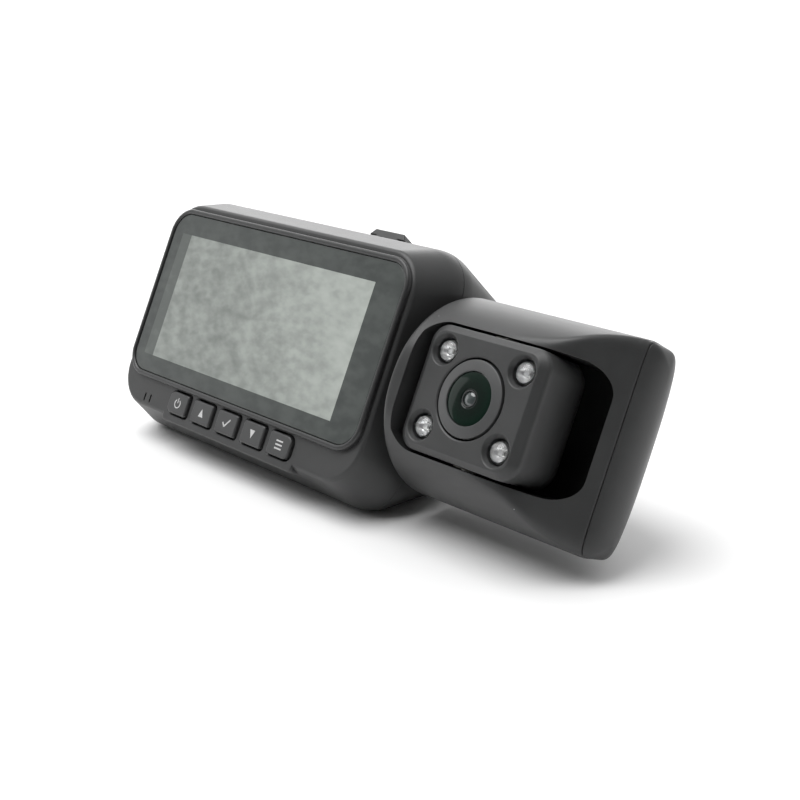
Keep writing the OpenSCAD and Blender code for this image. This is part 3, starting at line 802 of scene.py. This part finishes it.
def stroke(points, width, y):
    """Thin printed line through (x, z) points, as two rings to be lofted."""
    half = width / 2
    sides = []
    for i, (x, z) in enumerate(points):
        before = points[max(i - 1, 0)]
        after = points[min(i + 1, len(points) - 1)]
        dx, dz = after[0] - before[0], after[1] - before[1]
        size = math.hypot(dx, dz)
        sides.append((x, z, -dz / size * half, dx / size * half))
    edge = [(x + nx, z + nz) for x, z, nx, nz in sides]
    edge += [(x - nx, z - nz) for x, z, nx, nz in reversed(sides)]
    return [at(edge, y), at(edge, y + 0.06)]


def icon_shapes(key, x, y):
    z = BUTTON_Z
    if key == "power":
        ring = [(x + 1.0 * math.sin(a), z + 1.0 * math.cos(a))
                for a in (math.radians(d) for d in range(35, 326, 10))]
        return [stroke(ring, 0.26, y), stroke([(x, z + 0.15), (x, z + 1.35)], 0.26, y)]
    if key == "select":
        tick = [(x - 1.15, z + 0.05), (x - 0.35, z - 0.85), (x + 1.2, z + 1.05)]
        return [stroke(tick[:2], 0.36, y), stroke([(x - 0.45, z - 0.85), tick[2]], 0.36, y)]
    if key == "menu":
        return [stroke([(x - 1.1, z + d), (x + 1.1, z + d)], 0.34, y) for d in (-0.85, 0, 0.85)]
    up = 1 if key == "up" else -1
    corners = [(x - 0.85, z - 0.9 * up), (x + 0.85, z - 0.9 * up), (x, z + 1.0 * up)]
    return [[at(corners, y), at(corners, y + 0.06)]]


def make_buttons():
    for i, key in enumerate(KEYS):
        x = BUTTON_X + (i - 2) * PITCH
        body = key + "_key"
        box = button_box(i)
        cap = slab("cap_" + key, box, key_corners(i), rounded_front(BUTTON_Y, 3.05, 0.42, 6), KEY)
        flange = slab("cutter", (box[0] - 0.8, box[1] + 0.8, box[2] + 0.5, box[3] + 0.7), 0.3,
                      [(3.05, 0), (3.75, 0)], KEY)
        show(merged("cap_" + key, [cap, flange]), body, [key + "_button"])
        bm = bmesh.new()
        for rings in icon_shapes(key, x, BUTTON_Y - 0.02):
            add_loft(bm, rings)
        show(new_piece("icon_" + key, bm, INK), body, ())


# ---------------------------------------------------------------- barrel

def plan_arc(cx, cy, r, start, end, steps=40):
    return [(cx + r * math.cos(math.radians(a)), cy + r * math.sin(math.radians(a)))
            for a in (start + (end - start) * i / steps for i in range(steps + 1))]


NOSE_C = (SEAM_X + NOSE_R * math.cos(math.radians(180 - NOSE_TURN)),
          14.2 - NOSE_R * math.sin(math.radians(NOSE_TURN)))
NOSE_X = NOSE_C[0] + NOSE_R
END_SIN, END_COS = math.sin(math.radians(NOSE_END)), math.cos(math.radians(NOSE_END))
TAIL_R = (TILT_Y + BARREL_R - NOSE_C[1] - NOSE_R * END_SIN) / (1 - END_SIN)
TAIL_C = (NOSE_C[0] + (NOSE_R - TAIL_R) * END_COS, NOSE_C[1] + (NOSE_R - TAIL_R) * END_SIN)
PLAN = (plan_arc(77.9, 14.4, 12.2, -80, NOSE_TURN) + plan_arc(*NOSE_C, NOSE_R, NOSE_TURN, NOSE_END)
        + plan_arc(*TAIL_C, TAIL_R, NOSE_END, 90))
TIP = max(range(len(PLAN)), key=lambda i: PLAN[i][0])


def along(points, x):
    """Depth of a plan line at x; points run towards growing x."""
    if x <= points[0][0]:
        (x0, y0), (x1, y1) = points[0], points[1]
        return y0 + (y1 - y0) / (x1 - x0) * (x - x0)
    for (x0, y0), (x1, y1) in zip(points, points[1:]):
        if x <= x1:
            return y0 + (y1 - y0) * (x - x0) / max(x1 - x0, 1e-9)
    return points[-1][1]


FRONT_LINE = PLAN[:TIP + 1]
BACK_LINE = list(reversed(PLAN[TIP:]))
CRISP, SOFT = 70.0, 3.5


def soft_least(values, power):
    """Least of the values, rounded off where two of them come close."""
    least = min(values)
    return least * sum((least / v) ** power for v in values) ** (-1 / power)


def barrel_ring(x, inset=0.0, steps=300):
    """Section of the barrel: a round cut by the flattened front, the tail and the end's height."""
    r = BARREL_R - edge_inset(x - BARREL_X, 1.5) - inset
    front = max(along(FRONT_LINE, x), TILT_Y - 60) + inset
    early = max(0.0, BACK_LINE[0][0] - x)
    back = along(BACK_LINE, max(x, BACK_LINE[0][0])) + 0.3 * early - inset
    over = max(0.0, x - (NOSE_X - EDGE_RUN)) / EDGE_RUN
    tall = BARREL_R - EDGE_DROP * (1 - math.sqrt(max(0.0, 1 - over ** 2))) - inset
    mid = (max(front, TILT_Y - r) + min(back, TILT_Y + r)) / 2
    share = min(max((x - 72) / 14, 0.0), 1.0)
    power = CRISP * (SOFT / CRISP) ** share
    fold = CRISP * (0.16 ** min(max((x - 84) / 9, 0.0), 1.0))
    points = []
    for i in range(steps):
        a = 2 * math.pi * i / steps
        dy, dz = math.cos(a), math.sin(a)
        off = mid - TILT_Y
        reach = [-off * dy + math.sqrt(max(0.0, (off * dy) ** 2 - off ** 2 + r ** 2))]
        if over and abs(dz) > 0.01:
            reach.append(tall / abs(dz))
        t = soft_least(reach, CRISP if over else 1)
        if dy > 0.01:
            t = soft_least([t, max((back - mid) / dy, 0.004)], power)
        if dy < -0.01:
            t = soft_least([t, max((mid - front) / -dy, 0.004)], fold)
        points.append((x, mid + t * dy, TILT_Z + t * dz))
    return points


def barrel_part(name, stops, notch_start, notch_end):
    rings = []
    for x in stops:
        inset = 0.0
        if notch_start:
            inset += edge_inset(x - stops[0], 0.2)
        if notch_end:
            inset += edge_inset(stops[-1] - x, 0.2)
        rings.append(barrel_ring(x, inset))
    return loft(name, rings, HOUSING)


def pocket_block():
    """The room that the head turns in."""
    box = (POCKET_LEFT - 0.5, POCKET_RIGHT, HEAD_Z - POCKET_HALF, HEAD_Z + POCKET_HALF)
    block = slab("cutter", box, 5.5, [(-10, 0), (POCKET_BACK, 0)], HOUSING)
    r = PAN_X - POCKET_LEFT
    plan = [(PAN_X + r * math.cos(a), PAN_Y + r * math.sin(a))
            for a in (math.pi / 2 + math.pi / 2 * i / 40 for i in range(41))]
    plan += [(POCKET_LEFT, -12), (113, -12), (113, 48), (PAN_X, 48)]
    carve(block, [prism("cutter", plan, -60, 60, HOUSING)], "INTERSECT")
    return block


def make_barrel():
    start = [BARREL_X + 1.5 * (1 - math.cos(math.pi / 2 * i / 7)) for i in range(8)]
    middle = [54, 58, 62]
    middle += [64 + 0.5 * i for i in range(25)]
    middle += [76.25 + 0.25 * i for i in range(72)]
    last = [SEAM_X - 0.2, SEAM_X - 0.13, SEAM_X - 0.06, SEAM_X]
    main = barrel_part("barrel_shell", start + middle + last, False, True)
    carve(main, [pocket_block(), along_x("cutter", 10.05, 49, 51.9, HOUSING)])
    soften(main, 0.28, 42, 3)
    show(main, "barrel", ["barrel_housing"])
    begin = SEAM_X + 0.1
    stops = [begin, begin + 0.06, begin + 0.13, begin + 0.2]
    room = NOSE_X - stops[-1]
    stops += [stops[-1] + room * math.sin(math.pi / 2 * i / 26) for i in range(1, 27)]
    stops[-1] -= 0.003
    cap = barrel_part("barrel_cap", stops, True, False)
    show(cap, "barrel", ["barrel_end_cap"])


# ---------------------------------------------------------------- camera head

def head_ring(y, inset):
    half = min(HEAD_W, math.sqrt(max(0.0, DRUM_R ** 2 - (y - PAN_Y) ** 2))) - inset
    tall = HEAD_H - inset - max(0.0, abs(y - PAN_Y) - (DRUM_R - DRUM_EDGE))
    r = min((4.8 if y > 12 else 4.0) - min(inset, 2.5), half * 0.98)
    return at(outline(PAN_X - half, PAN_X + half, HEAD_Z - tall, HEAD_Z + tall, r, 12), y)


def make_head():
    rim = [(0.0, 1.5), (0.03, 1.36), (0.1, 1.24), (0.98, 0.3), (1.12, 0.16), (1.3, 0.05), (1.5, 0)]
    layers = [(HEAD_Y + d, t) for d, t in rim]
    layers += [(y, 0.0) for y in (1.4, 2.4, 4, 6, 8, 10, 12, 14, 16, 17.5)]
    shell = loft("head_shell_body", [head_ring(y, t) for y, t in layers], HEAD)
    bowl = [(8.15, 6), (8.15, HEAD_Y + 0.45), (8.22, HEAD_Y + 0.2), (8.45, HEAD_Y + 0.04),
            (9.0, HEAD_Y - 0.3), (9.0, -4)]
    dish = [(LAMP_R + 0.15, 6), (LAMP_R + 0.15, 0.5), (LAMP_R + 0.2, 0.34), (LAMP_R + 0.3, 0.22),
            (LAMP_R + 0.66, -0.3), (LAMP_R + 0.74, -0.4), (LAMP_R + 0.86, -0.47),
            (LAMP_R + 1.2, -0.56), (LAMP_R + 1.2, -4)]
    tools = [lathe("cutter", bowl, PAN_X, HEAD_Z, HEAD, 96)]
    for sx in (-1, 1):
        for sz in (-1, 1):
            tools.append(lathe("cutter", dish, PAN_X + sx * LAMP_X, HEAD_Z + sz * LAMP_Z, HEAD, 64))
    carve(shell, tools)
    show(shell, "head", ["head_shell"])
    back_stops = [17.55, 18, 18.6, 19.2, 19.8, 20.4, 20.9, 21.3, 21.6, 21.8]
    back = loft("head_rear_cover", [head_ring(y, 0.0) for y in back_stops], HEAD)
    show(back, "head", ["head_back"])


def make_cabin_lens():
    y = HEAD_Y
    ring = [(EYE_R + 0.05, 3), (EYE_R + 0.05, y - 0.28), (EYE_R + 0.12, y - 0.36),
            (EYE_R + 0.3, y - 0.38), (RING_R - 0.3, y - 0.12), (RING_R - 0.1, y - 0.02),
            (RING_R, y + 0.16), (RING_R, 3)]
    bm = bmesh.new()
    steps = 96
    rings = [
        [(PAN_X + r * math.cos(a), d, HEAD_Z + r * math.sin(a)) for r, d in ring]
        for a in (2 * math.pi * i / steps for i in range(steps))
    ]
    add_loft(bm, rings, closed=True)
    show(new_piece("lens_trim", bm, RING), "head", ["cabin_lens_ring"])
    cover = [(0.0, -0.42), (1.6, -0.42), (1.75, -0.6), (1.95, -0.7), (2.1, -0.72), (3.2, -0.7),
             (4.4, -0.64), (5.1, -0.58), (5.38, -0.5), (5.4, -0.4), (5.4, 1.4), (0.0, 1.4)]
    show(lathe("lens_cover_glass", cover, PAN_X, HEAD_Z, EYE, 96), "head", ["cabin_lens_glass"])
    bead = [(0.0, -0.7), (0.5, -0.68), (0.9, -0.61), (1.2, -0.5), (1.35, -0.43), (0.0, -0.43)]
    show(lathe("lens_pupil", bead, PAN_X, HEAD_Z, COATED, 64), "head", ())
    lip = [(1.5, -0.43), (1.5, -0.66), (1.56, -0.76), (1.66, -0.76), (1.72, -0.64), (1.72, -0.43)]
    rings = [
        [(PAN_X + r * math.cos(a), d, HEAD_Z + r * math.sin(a)) for r, d in lip]
        for a in (2 * math.pi * i / 64 for i in range(64))
    ]
    show(loft("lens_pupil_lip", rings, RING, closed=True), "head", ())


def make_lamps():
    top = HEAD_Y + LAMP_R - 0.05
    dome = [(0.0, HEAD_Y - 0.05)]
    dome += [(LAMP_R * math.sin(a), top - LAMP_R * math.cos(a))
             for a in (math.pi / 2 * i / 14 for i in range(1, 15))]
    dome += [(LAMP_R, top + 2.5), (0.0, top + 2.5)]
    clear = lathe("cutter", dome, 0, 0, EPOXY, 40)
    step = (2 * LAMP_X, 2 * LAMP_Z)
    domes = spread("lamp_domes", clear, 2, 2, *step, (PAN_X, 0, HEAD_Z))
    show(domes, "head", ["ir_leds"])
    y = HEAD_Y + 1.5
    cup = [(0.0, y + 1.15), (0.55, y + 1.1), (0.6, y + 0.75), (0.95, y + 0.6), (1.45, y + 0.1),
           (1.75, y - 0.2), (1.95, y + 0.1), (2.0, y + 1.5), (0.0, y + 1.5)]
    cups = spread("lamp_cups", lathe("cup", cup, 0, 0, CUP, 28), 2, 2, *step, (PAN_X, 0, HEAD_Z))
    show(cups, "head", ())
    post = slab("cutter", (-0.45, 0.45, -0.45, 0.45), 0.12,
                [(y + 0.35, 0.1), (y + 0.45, 0), (y + 0.8, 0)], CUP)
    wire = slab("cutter", (-0.16, 0.75, 0.45, 0.75), 0.1,
                [(y - 0.35, 0.05), (y - 0.1, 0), (y + 0.7, 0)], CUP)
    chips = spread("lamp_chips", merged("cutter", [post, wire]), 2, 2, *step, (PAN_X, 0, HEAD_Z))
    show(chips, "head", ())


# ---------------------------------------------------------------- back and small parts

def make_road_camera():
    y = BACK_Y
    ring = [(7.1, y - 4), (7.1, y + 1.5), (7.6, y + 1.9), (9.6, y + 3.1), (10.2, y + 3.42),
            (10.8, y + 3.46), (11.4, y + 3.2), (11.85, y + 2.5), (12.0, y + 1.6), (12.0, y + 0.02),
            (8.4, y + 0.02), (8.4, y - 4)]
    rings = [
        [(ROAD_X + r * math.cos(a), d, r * math.sin(a)) for r, d in ring]
        for a in (2 * math.pi * i / 96 for i in range(96))
    ]
    show(loft("road_collar", rings, GLOSS, closed=True), "body", ["road_lens_ring"])
    curve = 12.0
    dome = [(0.0, y - 0.6), (5.5, y - 0.6)]
    dome += [(r, y + 2.2 - curve + math.sqrt(curve ** 2 - r ** 2))
             for r in (5.5 - 0.5 * i for i in range(11))]
    dome += [(0.0, y + 2.2)]
    show(lathe("road_dome", dome, ROAD_X, 0, EYE, 72), "body", ["road_lens_glass"])


def make_case_screws():
    head = [(0.0, 17.5), (0.35, 17.55), (0.5, 18.3), (0.8, 18.4), (1.6, 18.3), (1.9, 18.0),
            (1.9, 17.02), (0.78, 17.0), (0.78, 7.3), (0.0, 7.2)]
    screws = spread("case_screw_set", lathe("cutter", head, 0, 0, STEEL, 24), 2, 2, 73, 29.5,
                    (2.5, 0, -1.75))
    show(screws, "body", ["case_screws"])


NODE_LOOKS = {
    INNER: ("mid_frame", "speaker", "usb_tongue", "road_lens_barrel", "tilt_hub",
            "cabin_lens_barrel"),
    STEEL: ("display_tray", "tact_switches", "microphone", "card_socket", "usb_port",
            "hub_screws", "tilt_washer", "hub_clip", "head_pivots"),
    BOARD: ("main_board", "button_board", "road_sensor_board", "cabin_sensor_board", "ir_board"),
    CHIP: ("processor", "memory_chips"),
    ALLOY: ("heat_spreader",),
    SLEEVE: ("supercapacitors",),
    CARD: ("memory_card",),
    COATED: ("road_lens_core", "cabin_lens_core", "lcd_panel"),
    FILM: ("backlight",),
    WASHER: ("pivot_washers",),
}


def dress_nodes():
    for look, names in NODE_LOOKS.items():
        for name in names:
            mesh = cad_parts[name].data
            mesh.materials.clear()
            mesh.materials.append(look)


# ---------------------------------------------------------------- studio

def make_floor():
    bm = bmesh.new()
    size = 9.0
    bm.faces.new([bm.verts.new((x, y, 0)) for x, y in
                  ((-size, -size), (size, -size), (size, size), (-size, size))])
    def paint(place):
        return {"Base Color": place.noise(0.02).blend(rgb(0.86), rgb(0.88))}
    floor = new_piece("floor", bm, material("pale table", paint, Roughness=0.9))


def aimed(place, target):
    return (Vector(target) - Vector(place)).to_track_quat("-Z", "Y").to_euler()


def area_light(name, place, target, size, glow):
    """Softbox whose face shines with the given brightness."""
    data = bpy.data.lights.new(name, "AREA")
    data.shape = "RECTANGLE"
    data.size, data.size_y = size
    data.energy = glow * math.pi * size[0] * size[1]
    lamp = bpy.data.objects.new(name, data)
    lamp.location = place
    lamp.rotation_euler = aimed(place, target)
    lamp.visible_camera = False
    bpy.context.scene.collection.objects.link(lamp)


def make_studio():
    """White room: bright behind and above, dim in front. The table is lit evenly by one sun."""
    world = bpy.data.worlds.new("studio")
    bpy.context.scene.world = world
    world.use_nodes = True
    tree = world.node_tree
    way = Flow(tree).node("ShaderNodeTexCoord")
    bright = way.node("ShaderNodeVectorMath", {"operation": "DOT_PRODUCT"},
                      {0: way, 1: (-0.5, 0.65, 0.57)}, 1)
    room = bright.between(-0.4, 0.85, 0.05, 1.0)
    seen = Flow(tree).node("ShaderNodeLightPath")
    glow = seen + (1 - seen) * room
    tree.links.new(glow.socket, tree.nodes["Background"].inputs["Strength"])
    tree.nodes["Background"].inputs["Color"].default_value = (1, 1, 1, 1)
    sun = bpy.data.lights.new("sun", "SUN")
    sun.energy = 2.5
    sun.angle = math.radians(50)
    lamp = bpy.data.objects.new("sun", sun)
    lamp.rotation_euler = aimed((-0.3, -0.3, 1.0), (0, 0, 0))
    bpy.context.scene.collection.objects.link(lamp)
    middle = (0.03, 0.0, 0.03)
    area_light("rear softbox", (-0.75, 0.85, 0.36), middle, (1.5, 0.55), 2.2)
    area_light("left card", (-0.26, -0.19, 0.11), (-0.03, 0, 0.03), (0.16, 0.16), 0.9)
    bpy.context.scene.view_settings.view_transform = "Standard"


def make_camera():
    data = bpy.data.cameras.new("view")
    data.lens = 60.35
    data.sensor_width = 36
    data.clip_start = 0.01
    camera = bpy.data.objects.new("view", data)
    camera.location = (0.23424, -0.18651, 0.11439)
    aim = Vector((-0.68734, 0.65204, -0.32002))
    camera.rotation_euler = aim.to_track_quat("-Z", "Y").to_euler()
    bpy.context.scene.collection.objects.link(camera)
    bpy.context.scene.camera = camera


make_camera()
make_front()
make_rear()
make_rail()
make_screen()
make_buttons()
make_barrel()
make_head()
make_cabin_lens()
make_lamps()
make_road_camera()
make_case_screws()
dress_nodes()
make_floor()
make_studio()
